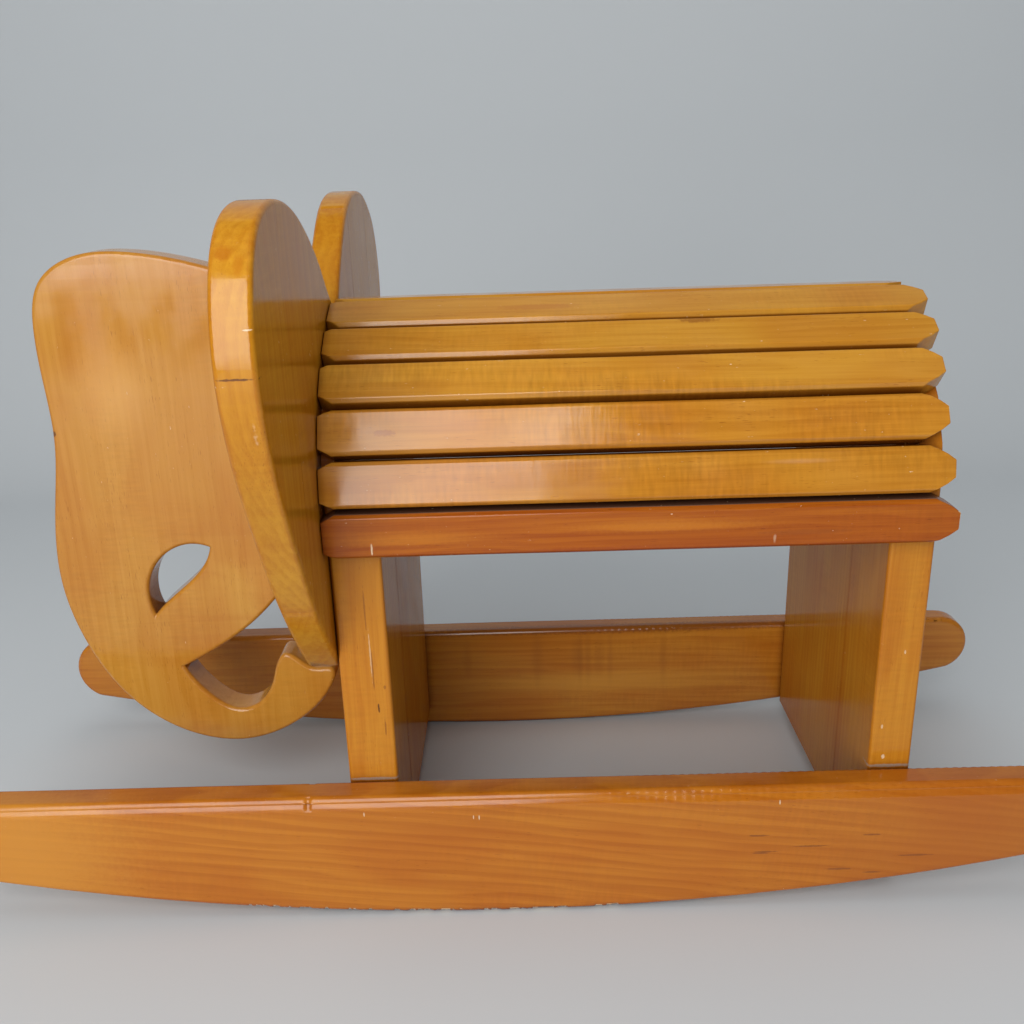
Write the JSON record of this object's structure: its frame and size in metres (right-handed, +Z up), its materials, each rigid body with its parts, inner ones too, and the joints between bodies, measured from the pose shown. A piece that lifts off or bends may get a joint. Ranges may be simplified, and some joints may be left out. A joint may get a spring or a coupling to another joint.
{
  "type": "ride-on rocking elephant",
  "caption": "Child's ride-on rocking elephant in varnished wood: a slatted barrel body on curved rockers, with heart-shaped ears and a flat head with a curled trunk.",
  "frame": {"origin": "On the floor plane at mid-width and mid-length of the rockers; the rockers touch the floor 8 mm nearer the head.", "axes": "+X towards the tail end (the head faces -X), +Y to the animal's left, +Z up."},
  "size_m": [0.7562, 0.4364, 0.448],
  "materials": {
    "rocker_wood": "gloss varnish, reddish amber",
    "slat_wood": "gloss varnish, honey",
    "panel_wood": "gloss varnish, honey",
    "ear_wood": "gloss varnish, honey",
    "head_wood": "gloss varnish, light honey",
    "dowel_wood": "bare hardwood"
  },
  "bodies": {
    "root": {"rocker_right": "rocker_wood", "rocker_left": "rocker_wood", "head_board": "head_wood", "front_leg_board_right": "panel_wood", "front_leg_board_left": "panel_wood", "rear_leg_board_right": "panel_wood", "rear_leg_board_left": "panel_wood", "ear_board_right_outer": "ear_wood", "ear_board_right_inner": "ear_wood", "ear_board_middle": "ear_wood", "ear_board_left_inner": "ear_wood", "ear_board_left_outer": "ear_wood", "slat_01": "slat_wood", "slat_02": "slat_wood", "slat_03": "slat_wood", "slat_04": "slat_wood", "slat_05": "slat_wood", "slat_06": "slat_wood", "slat_07": "slat_wood", "slat_08": "slat_wood", "slat_09": "slat_wood", "slat_10": "slat_wood", "slat_11": "slat_wood", "slat_12": "slat_wood", "slat_13": "slat_wood", "rocker_dowels_right": "dowel_wood", "rocker_dowels_left": "dowel_wood", "slat_dowels_front": "dowel_wood", "slat_dowels_rear": "dowel_wood", "ear_dowels": "dowel_wood", "neck_dowels": "dowel_wood"}
  },
  "joints": []
}
